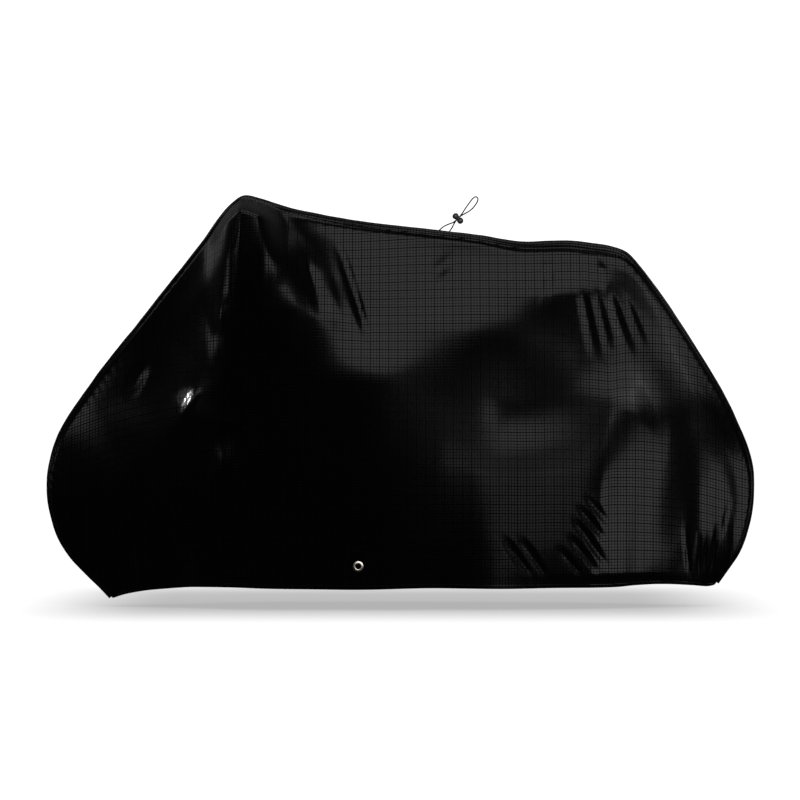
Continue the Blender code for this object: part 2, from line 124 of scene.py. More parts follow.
def node(material, kind, settings=None, inputs=None, **links):
    """Adds one node. settings are its own properties, inputs its socket values, and links the sockets that
    feed it, with underscores for spaces."""
    made = material.node_tree.nodes.new("ShaderNode" + kind)
    for name, value in (settings or {}).items():
        setattr(made, name, value)
    for name, value in (inputs or {}).items():
        made.inputs[name].default_value = value
    for name, source in links.items():
        key = int(name[1:]) if name[1:].isdigit() else name.replace("_", " ")
        material.node_tree.links.new(source, made.inputs[key])
    return made


def new_material(name):
    material = bpy.data.materials.new(name)
    material.use_nodes = True
    material.node_tree.nodes.clear()
    return material


def finish_surface(material, inputs, **links):
    surface = node(material, "BsdfPrincipled", {}, inputs, **links)
    node(material, "OutputMaterial", Surface=surface.outputs["BSDF"])
    return material


def thread_grid(material, place, square, width):
    """1 on the threads of a square grid laid over the cloth, 0 between them."""
    lines = []
    for axis in ("X", "Y"):
        spaced = node(material, "Math", {"operation": "DIVIDE"}, {1: square}, _0=place.outputs[axis])
        turn = node(material, "Math", {"operation": "PINGPONG"}, {1: 0.5}, _0=spaced.outputs[0])
        edge = node(
            material, "MapRange", {"interpolation_type": "SMOOTHSTEP"},
            {"From Min": 0.30 * width / square, "From Max": 0.70 * width / square,
             "To Min": 1.0, "To Max": 0.0},
            Value=turn.outputs[0],
        )
        lines.append(edge.outputs[0])
    return node(material, "Math", {"operation": "MAXIMUM"}, _0=lines[0], _1=lines[1])


def ripstop_cloth(name):
    """Thin coated polyester: black dye, a low soft shine, raised ribs in two sizes and a fine weave."""
    cloth = new_material(name)
    flat = node(cloth, "UVMap", {"uv_map": "cut"})
    place = node(cloth, "SeparateXYZ", Vector=flat.outputs["UV"])
    fine = thread_grid(cloth, place, RIPSTOP_SQUARE, RIB_WIDTH)
    strong = thread_grid(cloth, place, STRONG_SQUARE, STRONG_RIB_WIDER * RIB_WIDTH)
    strongly = node(cloth, "Math", {"operation": "MULTIPLY"}, {1: STRONG_RIB_HEIGHT}, _0=strong.outputs[0])
    ribs = node(
        cloth, "Math", {"operation": "MULTIPLY_ADD"}, {1: FINE_RIB_HEIGHT},
        _0=fine.outputs[0], _2=strongly.outputs[0],
    )
    worn = node(
        cloth, "TexNoise", {"noise_dimensions": "2D"},
        {"Scale": WEAR_PER_METRE, "Detail": 4.0, "Roughness": 0.55}, Vector=flat.outputs["UV"],
    )
    rougher = node(
        cloth, "MapRange", {}, {"To Min": CALENDERED_ROUGHNESS, "To Max": RIB_ROUGHNESS},
        Value=ribs.outputs[0],
    )
    duller = node(
        cloth, "MapRange", {}, {"To Min": PLAIN_SHINE, "To Max": RIB_SHINE}, Value=ribs.outputs[0],
    )
    uneven = node(
        cloth, "Math", {"operation": "MULTIPLY_ADD"}, {1: WORN_ROUGHNESS},
        _0=worn.outputs["Fac"], _2=rougher.outputs[0],
    )
    weave = node(
        cloth, "TexNoise", {"noise_dimensions": "2D"},
        {"Scale": 1.0 / WEAVE_THREAD, "Detail": 1.0}, Vector=flat.outputs["UV"],
    )
    height = node(
        cloth, "Math", {"operation": "MULTIPLY_ADD"}, {1: WEAVE_HEIGHT},
        _0=weave.outputs["Fac"], _2=ribs.outputs[0],
    )
    bump = node(cloth, "Bump", {}, {"Strength": 0.5, "Distance": RIB_RISE}, Height=height.outputs[0])
    dyed = node(
        cloth, "Mix", {"data_type": "RGBA"}, {6: colour(DYED_BLACK), 7: colour(WORN_BLACK)},
        Factor=worn.outputs["Fac"],
    )
    return finish_surface(
        cloth, {"IOR": 1.5, "Sheen Weight": SLANTING_SHEEN, "Sheen Roughness": 0.35},
        Base_Color=dyed.outputs["Result"], Roughness=uneven.outputs[0], Normal=bump.outputs["Normal"],
        Specular_IOR_Level=duller.outputs[0],
    )


RIPSTOP = ripstop_cloth("calendered_ripstop_polyester")

# ---------- side panels
# Two large panels, each cut in one piece and sewn to the centre gusset along its whole top edge. They hang
# from the handlebar's ends and the saddle, are drawn in round the wheels, and end in a hem turned up
# inside and stitched. The folds below are where the cloth is pulled or slack.
PANEL_COLUMNS = 440
PANEL_ROWS = 214
LEVELS = np.array([0.0, 0.05, 0.15, 0.28, 0.45, 0.70, 1.0])

# One row for each section, front hem corner to rear hem corner: x and z of the ridge line, x and z of the
# hem, how far the seam lies inside the ridge, and the half widths of the cover at LEVELS. All in
# millimetres.
SECTIONS = [
    ("front hem corner", -378, -1125, -362, -1121, 6, 50, 50, 51, 52, 54, 56, 58),
    ("under front tyre", -512, -977, -326, -1110, 6, 50, 52, 56, 60, 64, 68, 66),
    ("front of tyre", -554, -809, -266, -1099, 7, 50, 55, 62, 72, 82, 92, 84),
    ("over front tyre", -526, -678, -210, -1093, 7, 54, 62, 75, 93, 110, 122, 106),
    ("fork", -434, -529, -154, -1088, 8, 60, 72, 96, 122, 147, 160, 135),
    ("front slope", -294, -350, -104, -1086, 9, 66, 86, 124, 161, 194, 205, 172),
    ("below handlebar", -126, -137, -53, -1085, 10, 76, 118, 186, 222, 246, 240, 205),
    ("before handlebar", -36, -20, -14, -1085, 10, 86, 252, 277, 272, 258, 246, 218),
    ("handlebar", 0, 1, 25, -1086, 10, 90, 286, 289, 279, 262, 249, 224),
    ("behind handlebar", 48, -9, 64, -1087, 11, 89, 276, 288, 279, 262, 250, 228),
    ("stem", 126, -33, 126, -1088, 13, 87, 135, 234, 268, 261, 251, 233),
    ("behind stem", 204, -50, 198, -1089, 14, 86, 112, 178, 240, 255, 252, 236),
    ("head tube", 294, -66, 280, -1090, 15, 85, 104, 150, 213, 256, 258, 238),
    ("top tube", 546, -96.5, 518, -1086, 16, 81, 92, 125, 169, 201, 238, 236),
    ("before saddle", 660, -110, 622, -1087, 17, 80, 90, 126, 161, 178, 223, 230),
    ("saddle nose", 756, -126, 714, -1088, 19, 78, 91, 125, 149, 158, 211, 221),
    ("saddle", 944, -128, 868, -1087, 22, 75, 90, 118, 122, 150, 197, 207),
    ("saddle back", 1069, -158, 952, -1087, 17, 72, 86, 101, 112, 153, 187, 193),
    ("behind saddle", 1112, -206, 1008, -1087, 10, 69, 82, 97, 108, 150, 163, 170),
    ("rear slope", 1260, -420, 1084, -1083, 9, 63, 77, 98, 106, 111, 121, 137),
    ("over rear tyre", 1366, -605, 1148, -1081, 10, 59, 66, 81, 95, 102, 108, 113),
    ("back of tyre", 1420, -753, 1201, -1082, 11, 56, 58, 63, 76, 87, 97, 104),
    ("behind rear tyre", 1421, -865, 1246, -1085, 11, 54, 55, 58, 63, 74, 81, 88),
    ("under rear tyre", 1380, -1005, 1291, -1089, 10, 52, 53, 55, 56, 59, 61, 62),
    ("rear hem corner", 1324, -1084, 1309, -1086, 6, 50, 50, 51, 52, 54, 55, 56),
]

# A fold stands out or sinks in along a line seen from the side. One row for each: x and z of its start, x
# and z of its end, its width from its middle to where it dies out at the start and at the end, its height,
# below zero where it sinks in, all in millimetres, and the share of its length where it is highest.
NEAR_FOLDS = [
    ("curtain below bar end", -10, -80, -40, -900, 70, 90, 10, 0.35),
    ("first almond swell", -46, -40, -56, -170, 24, 24, 3.5, 0.50),
    ("second almond swell", -50, -270, -62, -410, 24, 24, 7, 0.50),
    ("third almond swell", -255, -440, -330, -580, 32, 32, 6, 0.50),
    ("pinched glint", -113, -534, -167, -622, 21, 18, 6.8, 0.50),
    ("swell on the front belly", -30, -655, -54, -870, 60, 60, 17, 0.50),
    ("first front hem gather", -425, -900, -430, -1030, 18, 12, 4, 0.60),
    ("second front hem gather", -298, -930, -290, -1075, 16, 12, 5, 0.60),
    ("third front hem gather", -130, -930, -126, -1070, 18, 12, 4, 0.60),
    ("fourth front hem gather", -375, -960, -345, -1090, 18, 10, -5, 0.60),
    ("first pull to the crank", 150, -110, 238, -390, 22, 26, -7, 0.45),
    ("ridge between the pulls", 195, -130, 290, -420, 28, 28, 4, 0.50),
    ("second pull to the crank", 240, -60, 372, -480, 22, 30, -8.5, 0.40),
    ("branch of the second pull", 300, -240, 350, -420, 18, 18, -5, 0.50),
    ("dent in the top tube cloth", 590, -160, 505, -250, 34, 30, -4.5, 0.50),
    ("first pinch before saddle", 846, -150, 812, -330, 10, 10, -4.5, 0.45),
    ("second pinch before saddle", 862, -150, 838, -330, 9, 10, -3.5, 0.45),
    ("first tongue at saddle", 906, -130, 916, -275, 16, 16, 2.5, 0.55),
    ("second tongue at saddle", 945, -130, 950, -265, 14, 16, 2.5, 0.55),
    ("gap beside the tongues", 984, -135, 1004, -290, 18, 20, -6, 0.40),
    ("first saddle fan", 924, -200, 982, -490, 16, 24, -6, 0.45),
    ("second saddle fan", 962, -215, 1022, -470, 15, 22, -4.2, 0.50),
    ("third saddle fan", 1000, -230, 1080, -480, 16, 26, -5.2, 0.45),
    ("fourth saddle fan", 1040, -240, 1120, -450, 15, 22, -2.8, 0.50),
    ("swell behind rear tyre", 1262, -640, 1282, -1090, 65, 50, 5.5, 0.55),
    ("first low crease", 940, -820, 1018, -930, 15, 16, -4.5, 0.50),
    ("second low crease", 915, -845, 1010, -975, 15, 16, -5.5, 0.50),
    ("third low crease", 900, -880, 1004, -1020, 15, 16, -5.5, 0.50),
    ("fourth low crease", 890, -930, 990, -1060, 16, 15, -5.5, 0.50),
    ("fifth low crease", 930, -935, 1018, -1045, 14, 14, -4, 0.50),
    ("sixth low crease", 862, -965, 945, -1072, 15, 14, -4.5, 0.50),
    ("first hem crease", 705, -930, 806, -1072, 18, 18, -5, 0.50),
    ("second hem crease", 752, -930, 845, -1075, 17, 16, -5, 0.50),
    ("first rear gather", 1264, -920, 1262, -1072, 13, 9, -4.5, 0.60),
    ("second rear gather", 1288, -925, 1274, -1062, 11, 8, -4, 0.60),
    ("third rear gather", 1322, -890, 1294, -1068, 14, 9, -5, 0.65),
    ("fourth rear gather", 1352, -830, 1322, -980, 12, 10, -1.6, 0.50),
    ("fifth rear gather", 1222, -900, 1238, -1078, 15, 10, -4, 0.60),
    ("hem drawn in under the crank", 740, -1092, 1290, -1092, 50, 46, -12, 0.55),
]
FAR_FOLDS = [
    ("curtain below bar end", -10, -100, -20, -900, 80, 80, 14, 0.50),
    ("hollow behind curtain", 90, -220, 120, -920, 85, 85, -10, 0.50),
    ("pull to the crank", 160, -120, 520, -620, 40, 50, -7, 0.50),
    ("swell beside the pull", 220, -110, 560, -580, 45, 50, 6, 0.50),
    ("pinch before saddle", 800, -180, 740, -500, 30, 35, -6, 0.50),
    ("first saddle fan", 940, -200, 990, -480, 20, 30, -6, 0.50),
    ("second saddle fan", 980, -200, 1090, -520, 20, 30, -6, 0.50),
    ("first low crease", 860, -800, 1000, -1040, 24, 24, -6, 0.50),
    ("second low crease", 950, -840, 1070, -1060, 22, 22, -6, 0.50),
    ("first rear gather", 1220, -840, 1290, -1070, 24, 12, -6, 0.60),
    ("second rear gather", 1300, -820, 1310, -1070, 20, 10, -5, 0.60),
    ("front gather", -410, -880, -330, -1100, 35, 20, -5, 0.60),
]

# The mesh's columns lie closer together towards its two ends, and its rows towards the seam and the hem.
COLUMNS_CROWD = 0.045
COLUMNS_CROWD_AT = 0.12
ROWS_CROWD = 0.11
# The seam draws the cloth in and puckers it unevenly.
SEAM_DIP = 0.0055
SEAM_DIP_REACH = 0.010
SEAM_HALF_GAP = 0.0004
PUCKER_LENGTH = 0.028
PUCKER_HEIGHT = 0.0011
PUCKER_BELOW_SEAM = 0.010
PUCKER_REACH = 0.022
PUCKER_WANDER = 2.5
PUCKER_WANDER_SIZE = 0.09
PUCKER_MEAN = 0.35
PUCKER_CHANGE = 1.3
PUCKER_CHANGE_SIZE = 0.16
# The hem swings a little in and out, and is a turn of cloth thicker.
HEM_SWAY = 0.007
HEM_SWAY_LENGTH = 0.31
HEM_SWAY_REACH = 5.0
HEM_DEPTH = 0.009
HEM_STEP = 0.0006
HEM_CLOTH = 0.0018
HEM_FOLD_ROWS = 7
# How far up the inside, and what share of the hem's thickness inward, each row of its return lies.
HEM_RETURN = [(-0.0005, 0.3), (-0.0006, 0.7), (0.0, 1.0), (0.003, 1.05), (0.009, 1.0)]
# The rest of the cloth is slack, away from the seam and the hem.
SLACK_HEIGHT = 0.0012
SLACK_SIZE = 0.11
SLACK_FROM_SEAM = 0.06
SLACK_FROM_HEM = 0.03
PANEL_SEEDS = (1.3, 7.7)
OUTWARD = (0.0, -1.0, 0.2)


def rounded_slopes(knots, values):
    """Slopes that carry a smooth line through every value."""
    return np.gradient(values, knots, axis=0)


def level_slopes(knots, values):
    """Slopes that never carry the line beyond its neighbouring values."""
    rise = np.diff(values, axis=0) / np.diff(knots)[:, None]
    before, after = rise[:-1], rise[1:]
    turning = before * after <= 0
    shared = 2 * before * after / np.where(turning, 1.0, before + after)
    return np.vstack([rise[:1], np.where(turning, 0.0, shared), rise[-1:]])


def between(knots, values, slopes, at):
    """Cubic Hermite line through values at knots, read at each place in at."""
    at = np.clip(at, knots[0], knots[-1])
    i = np.clip(np.searchsorted(knots, at, side="right") - 1, 0, len(knots) - 2)
    span = (knots[i + 1] - knots[i])[:, None]
    s = ((at - knots[i])[:, None]) / span
    return (
        (1 + 2 * s) * (1 - s) ** 2 * values[i]
        + s * (1 - s) ** 2 * span * slopes[i]
        + s * s * (3 - 2 * s) * values[i + 1]
        + s * s * (s - 1) * span * slopes[i + 1]
    )


# The table's first four columns are the two lines, the rest the drop and the half widths.
LINES, WIDTHS = np.split(np.array([sizes for _, *sizes in SECTIONS]) / 1000.0, [4], axis=1)
STEPS = np.hypot(*np.diff(LINES[:, :2], axis=0).T) + np.hypot(*np.diff(LINES[:, 2:], axis=0).T)
STATIONS = np.concatenate([[0.0], np.cumsum(STEPS / STEPS.sum())])
LINE_SLOPES = rounded_slopes(STATIONS, LINES)
WIDTH_SLOPES = level_slopes(STATIONS, WIDTHS)


def section_at(u):
    """Crest, inward direction, hem, drop and half widths at each station u from 0 to 1."""
    step = 1e-4
    lines, ahead, behind = (between(STATIONS, LINES, LINE_SLOPES, at) for at in (u, u + step, u - step))
    along = ahead[:, :2] - behind[:, :2]
    along /= np.linalg.norm(along, axis=1)[:, None]
    inward = np.stack([along[:, 1], -along[:, 0]], axis=1)
    widths = between(STATIONS, WIDTHS, WIDTH_SLOPES, u)
    return lines[:, :2], inward, lines[:, 2:], widths[:, :1], widths[:, 1:]


def fold_relief(folds, x, z):
    """How far the folds stand out at each side-view point."""
    relief = np.zeros_like(x)
    for _, *sizes, peak in folds:
        x0, z0, x1, z1, width, to_width, height = (size / 1000.0 for size in sizes)
        run = np.array([x1 - x0, z1 - z0])
        length = np.linalg.norm(run)
        run /= length
        along = np.clip(((x - x0) * run[0] + (z - z0) * run[1]) / length, 0.0, 1.0)
        across = (x - x0) * run[1] - (z - z0) * run[0]
        spread = width + (to_width - width) * along
        rising = along / peak
        falling = (1.0 - along) / (1.0 - peak)
        taper = np.sin(0.5 * math.pi * np.minimum(np.minimum(rising, falling), 1.0)) ** 2
        crown = np.cos(0.5 * math.pi * np.clip(across / spread, -1.0, 1.0)) ** 2
        relief += height * taper * crown
    return relief


def slack(x, z, size, seed):
    """Low uneven swell of hanging cloth, from -1 to 1, in swells of the given size."""
    flat = np.stack([x.ravel() / size, z.ravel() / size], axis=1)
    values = [noise.noise((a, b, seed)) for a, b in flat.tolist()]
    return np.array(values).reshape(x.shape)


def surface_normals(points):
    """Unit normals of a grid of points, turned away from the middle plane."""
    along = np.gradient(points, axis=0)
    down = np.gradient(points, axis=1)
    normals = np.cross(along, down)
    normals /= np.maximum(np.linalg.norm(normals, axis=2, keepdims=True), 1e-12)
    facing = np.sign((normals * OUTWARD).sum(axis=2).mean())
    return normals * facing


def distance_along(route):
    """Distance along a line of points, from its first one."""
    return np.concatenate([[0.0], np.cumsum(np.linalg.norm(np.diff(route, axis=0), axis=1))])


def travelled(points):
    """Distance along each column of a grid, from its first row."""
    steps = np.linalg.norm(np.diff(points, axis=1), axis=2)
    return np.concatenate([np.zeros((len(points), 1)), np.cumsum(steps, axis=1)], axis=1)


def crowded_steps(count, crowd, crowd_at=0.0):
    """Steps from 0 to 1 that lie closest together round crowd_at, and widest apart 0.5 from it."""
    s = np.linspace(0.0, 1.0, count + 1)
    shift = crowd * np.sin(2 * math.pi * (s - crowd_at))
    return s - shift + shift[0]


def hanging_cloth(u, t, folds):
    """The panel as it hangs, before its seam and hem are worked."""
    crest, inward, hem, drop, widths = section_at(u)
    seam = crest + drop * inward
    side = seam[:, None, :] + (hem - seam)[:, None, :] * t[None, :, None]
    width = np.stack([
        between(LEVELS, row, level_slopes(LEVELS, row), t)[:, 0] for row in widths[..., None]
    ])
    x, z = side[..., 0], side[..., 1]
    clear_of_seam = np.clip(t / LEVELS[1], 0.0, 1.0)[None, :] ** 2
    sway = HEM_SWAY * np.sin(2 * math.pi * x / HEM_SWAY_LENGTH) * t[None, :] ** HEM_SWAY_REACH
    sway *= np.sin(math.pi * u)[:, None]
    out = width + fold_relief(folds, x, z) * clear_of_seam + sway
    return np.stack([x, -out, z], axis=-1)


def worked_cloth(points, seed):
    """Adds what sewing does to hanging cloth: the seam draws it in and puckers it, the hem is a step
    thicker, and all of it is a little slack."""
    below_seam = travelled(points)
    above_hem = below_seam[:, -1:] - below_seam
    along = distance_along(points[:, 0])[:, None]
    level = np.zeros_like(along)
    wander = PUCKER_WANDER * slack(along, level, PUCKER_WANDER_SIZE, seed + 3.0)
    change = PUCKER_CHANGE * slack(along, level, PUCKER_CHANGE_SIZE, seed + 5.0)
    strength = np.clip(PUCKER_MEAN + change, 0.0, 1.0)
    pucker = PUCKER_HEIGHT * strength * np.sin(2 * math.pi * along / PUCKER_LENGTH + wander)
    pucker = pucker * np.exp(-((below_seam - PUCKER_BELOW_SEAM) / PUCKER_REACH) ** 2)
    rise = -SEAM_DIP * np.exp(-((below_seam / SEAM_DIP_REACH) ** 2)) + pucker
    rise = rise + HEM_STEP * (above_hem < HEM_DEPTH)
    inside = np.clip(below_seam / SLACK_FROM_SEAM, 0.0, 1.0) * np.clip(above_hem / SLACK_FROM_HEM, 0.0, 1.0)
    rise = rise + SLACK_HEIGHT * slack(points[..., 0], points[..., 2], SLACK_SIZE, seed) * inside
    return points + rise[..., None] * surface_normals(points)


def hem_return(points):
    """The hem's edge rolls under and runs back up inside: rows to add below the last one."""
    inward = -surface_normals(points)[:, -1]
    edge = points[:, -1]
    upward = points[:, -1 - HEM_FOLD_ROWS] - edge
    upward /= np.linalg.norm(upward, axis=1)[:, None]
    return np.stack([edge + up * upward + HEM_CLOTH * deep * inward for up, deep in HEM_RETURN], axis=1)


def smooth_piece(name, points, faces, place=None):
    """Smooth-shaded piece from lists of points and faces, carried to its place."""
    mesh = bpy.data.meshes.new(name)
    mesh.from_pydata(points, [], faces)
    if place is not None:
        mesh.transform(place)
    mesh.shade_smooth()
    piece = bpy.data.objects.new(name, mesh)
    scene.collection.objects.link(piece)
    return piece


def lay_flat(piece, flat):
    """Gives each point its place on the cut cloth in metres, which the threads follow."""
    cut = piece.data.uv_layers.new(name="cut")
    loops = np.empty(len(piece.data.loops), dtype=np.int32)
    piece.data.loops.foreach_get("vertex_index", loops)
    cut.data.foreach_set("uv", flat.reshape(-1, 2)[loops].astype(np.float32).ravel())
    return piece


def numbered(points):
    """The number that each point of a grid has in the list of them all."""
    return np.arange(points[..., 0].size).reshape(points.shape[:-1])


def cloth_mesh(name, points, flat, mirrored, hole=None):
    """Quads over points[column][row], with flat[column][row] as the cut cloth's own metres."""
    corner = numbered(points)
    faces = np.stack([corner[:-1, :-1], corner[1:, :-1], corner[1:, 1:], corner[:-1, 1:]], axis=-1)
    faces = faces.reshape(-1, 4)
    if mirrored:
        faces = faces[:, ::-1]
    if hole is not None:
        centre, radius = hole
        middles = points.reshape(-1, 3)[faces].mean(axis=1)
        faces = faces[np.linalg.norm(middles - centre, axis=1) > radius]
    return lay_flat(smooth_piece(name, points.reshape(-1, 3), faces.tolist()), flat)


def to_side(points, side):
    """side is -1 for the near side and +1 for the far one."""
    return points * np.array([1.0, -side, 1.0])


def finish_piece(piece, material, slot, *stands_for):
    piece.data.materials.append(material)
    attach(piece, "root")
    if stands_for:
        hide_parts(*stands_for)


EYELET_LEAN_ALONG = 0.091
EYELET_LEAN_UP = 0.060
FLAT_ROUND_EYELET = 0.040
FLAT_FADES_OUT = 0.095
EYELET_CUT = 0.0105


def eyelet_centre(side):
    low, high = (np.array(corner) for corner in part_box("eyelet_near" if side < 0 else "eyelet_far"))
    return to_side(0.5 * (low + high), side)


def eyelet_plane(side, along, up, behind=0.0):
    """Points of the plane in which the cloth round an eyelet hangs, or of one a little behind it."""
    x, y, z = eyelet_centre(side)
    out = -y + EYELET_LEAN_ALONG * along + EYELET_LEAN_UP * up - behind
    return np.stack([x + along, -out, z + up], axis=-1)


def flattened_at_eyelet(points, side):
    """The doubled cloth round the eyelet hangs in one plane."""
    x, _, z = eyelet_centre(side)
    along, up = points[..., 0] - x, points[..., 2] - z
    away = np.hypot(along, up)
    share = np.clip((FLAT_FADES_OUT - away) / (FLAT_FADES_OUT - FLAT_ROUND_EYELET), 0.0, 1.0)
    share = share * share * (3.0 - 2.0 * share)
    points[..., 1] += share * (eyelet_plane(side, along, up)[..., 1] - points[..., 1])
    return points


SIDES = (("near", -1), ("far", 1))

stations = crowded_steps(PANEL_COLUMNS, COLUMNS_CROWD, COLUMNS_CROWD_AT)
levels = crowded_steps(PANEL_ROWS, ROWS_CROWD)
panel_grids = {}
for (label, side), folds, seed in zip(SIDES, (NEAR_FOLDS, FAR_FOLDS), PANEL_SEEDS):
    points = worked_cloth(flattened_at_eyelet(hanging_cloth(stations, levels, folds), side), seed)
    panel_grids[side] = points
    points = np.concatenate([points, hem_return(points)], axis=1)
    run = travelled(points)
    up_from_hem = run[:, PANEL_ROWS, None] - run
    flat = np.stack([points[..., 0], points[:, PANEL_ROWS, None, 2] + up_from_hem], axis=-1)
    hole = (to_side(eyelet_centre(side), side), EYELET_CUT)
    panel = cloth_mesh("side_cloth_" + label, to_side(points, side), flat, side > 0, hole)
    finish_piece(panel, RIPSTOP, "cover_cloth", "side_panel_" + label)

# ---------- centre gusset
# A strip of the same cloth over the ridge, from the front hem corner to the rear one, sewn between the two
# panels. It lies flat on the bar, frame and saddle and turns down into the panels at its seams.
GUSSET_COLUMNS = 520
GUSSET_CELLS = 14
GUSSET_LEVEL = 0.55
GUSSET_TURN = 0.45
GUSSET_TURN_DEPTH = 0.85
GUSSET_SLACK = 0.0010
GUSSET_SLACK_SIZE = 0.05
GUSSET_SEED = 4.1


def gusset_half(u, folds):
    """Cross sections of the gusset from its ridge to one seam."""
    crest, inward, _, drop, widths = section_at(u)
    step = 2e-3
    start = hanging_cloth(u, np.array([0.0, step]), folds)
    falling = (start[:, 1] - start[:, 0]) / step
    outward = -falling[:, 1]
    downward = falling[:, 0] * inward[:, 0] + falling[:, 2] * inward[:, 1]
    length = np.hypot(outward, downward)
    heading = np.stack([outward, downward], axis=1) / length[:, None]
    seam = np.hstack([widths[:, :1], drop]) - heading * SEAM_HALF_GAP
    steepness = np.maximum(heading[:, 1], 1e-3)
    reach = np.minimum(GUSSET_TURN * seam[:, 0], GUSSET_TURN_DEPTH * seam[:, 1] / steepness)
    pulls = [
        np.zeros_like(seam),
        np.stack([GUSSET_LEVEL * seam[:, 0], np.zeros(len(u))], axis=1),
        seam - heading * reach[:, None],
        seam,
    ]
    s = np.sin(0.5 * math.pi * np.linspace(0.0, 1.0, GUSSET_CELLS + 1))
    blend = [(1 - s) ** 3, 3 * s * (1 - s) ** 2, 3 * s * s * (1 - s), s ** 3]
    arch = sum(b[None, :, None] * p[:, None, :] for b, p in zip(blend, pulls))
    x = crest[:, :1] + inward[:, :1] * arch[..., 1]
    z = crest[:, 1:] + inward[:, 1:] * arch[..., 1]
    return np.stack([x, -arch[..., 0], z], axis=-1)


u = np.linspace(0.0, 1.0, GUSSET_COLUMNS + 1)
near_half = gusset_half(u, NEAR_FOLDS)[:, ::-1]
far_half = to_side(gusset_half(u, FAR_FOLDS), 1)
strip = np.concatenate([near_half, far_half[:, 1:]], axis=1)
across = travelled(strip)
from_seam = np.minimum(across, across[:, -1:] - across)
up_or_out = np.cross(np.gradient(strip, axis=0), np.gradient(strip, axis=1))
up_or_out /= np.linalg.norm(up_or_out, axis=2, keepdims=True)
ridge = distance_along(strip[:, GUSSET_CELLS])[:, None] + 0.0 * across
lift = -SEAM_DIP * np.exp(-((from_seam / SEAM_DIP_REACH) ** 2))
lift = lift + GUSSET_SLACK * slack(ridge, across, GUSSET_SLACK_SIZE, GUSSET_SEED)
if up_or_out[GUSSET_COLUMNS // 2, GUSSET_CELLS, 2] < 0:
    up_or_out = -up_or_out
strip = strip + lift[..., None] * up_or_out
flat = np.stack([ridge, across - 0.5 * across[:, -1:]], axis=-1)
gusset = cloth_mesh("gusset_cloth", strip, flat, False)
finish_piece(gusset, RIPSTOP, "cover_cloth", "centre_gusset")

# ---------- eyelet reinforcements
# A square of the same cloth sewn inside the hem behind each eyelet, so that a lock or strap through the
# eyelet doesn't tear the panel.
PATCH_HALF = 0.037
PATCH_ABOVE = 0.045
PATCH_BELOW = 0.052
PATCH_BEHIND = 0.0016
PATCH_THICK = 0.0010
PATCH_CELLS = 30

for label, side in SIDES:
    along, up = np.meshgrid(
        np.linspace(-PATCH_HALF, PATCH_HALF, PATCH_CELLS + 1),
        np.linspace(PATCH_ABOVE, -PATCH_BELOW, PATCH_CELLS + 1),
        indexing="ij",
    )
    points = eyelet_plane(side, along, up, PATCH_BEHIND)
    centre = eyelet_plane(side, 0.0, 0.0, PATCH_BEHIND)
    patch = cloth_mesh(
        "reinforcement_cloth_" + label, to_side(points, side), np.stack([along, up], axis=-1), side > 0,
        (to_side(centre, side), EYELET_CUT),
    )
    thick = patch.modifiers.new("cloth", "SOLIDIFY")
    thick.thickness = PATCH_THICK
    thick.offset = 0.0
    finish_piece(patch, RIPSTOP, "cover_cloth", "eyelet_patch_" + label)

# ---------- hem stitching
# A row of lockstitch in black polyester thread holds the turned-up hem, and a square of it holds each
# reinforcement. Each stitch lies in the dimple that it pulls into the cloth.
STITCH_ABOVE_EDGE = 0.0075
STITCH_PITCH = 0.0040
STITCH_LENGTH = 0.0031
STITCH_LOOK_AHEAD = 0.001
THREAD_R = 0.00030
THREAD_BLACK = "050506"
# Share of a stitch's length from its middle, and share of the thread's radius there.
STITCH_RINGS = ((-0.50, 0.35), (-0.30, 1.0), (0.0, 1.15), (0.30, 1.0), (0.50, 0.35))
THREAD_SIDES = 6
PATCH_STITCH_INSET = 0.004
PATCH_STITCH_POINTS = 40


def spun_thread(name):
    """Twisted polyester thread: near black, with a dry sheen along its plies."""
    thread = new_material(name)
    place = node(thread, "TexCoord")
    plies = node(thread, "TexWave", {"wave_type": "BANDS", "bands_direction": "DIAGONAL"},
                 {"Scale": 900.0, "Distortion": 0.0}, Vector=place.outputs["Object"])
    bump = node(thread, "Bump", {}, {"Strength": 0.4, "Distance": 0.0001}, Height=plies.outputs["Fac"])
    return finish_surface(
        thread, {"Base Color": colour(THREAD_BLACK), "Roughness": 0.45, "IOR": 1.5},
        Normal=bump.outputs["Normal"],
    )


def full_turn(steps):
    """Angles of even steps once round."""
    return np.linspace(0.0, 2 * math.pi, steps, endpoint=False)


def read_along(at, walked, values):
    """Values of a line of points at the given distances along it."""
    return np.stack([np.interp(at, walked, values[:, k]) for k in range(3)], axis=1)


def stitch_row(route, normals):
    """Stitches along a route of close points, each a short spindle that lies on the cloth."""
    walked = distance_along(route)
    centres = (np.arange(int(walked[-1] / STITCH_PITCH)) + 0.5) * STITCH_PITCH
    turns = full_turn(THREAD_SIDES)
    rings = []
    for along, thick in STITCH_RINGS:
        at = centres + along * STITCH_LENGTH
        spot = read_along(at, walked, route)
        normal = read_along(at, walked, normals)
        heading = read_along(at + STITCH_LOOK_AHEAD, walked, route) - spot
        heading /= np.maximum(np.linalg.norm(heading, axis=1, keepdims=True), 1e-9)
        sideways = np.cross(heading, normal)
        r = THREAD_R * thick
        spot = spot + 0.5 * r * normal
        ring = [spot + r * (math.cos(a) * sideways + math.sin(a) * normal) for a in turns]
        rings.append(np.stack(ring, axis=1))
    return np.stack(rings, axis=1)


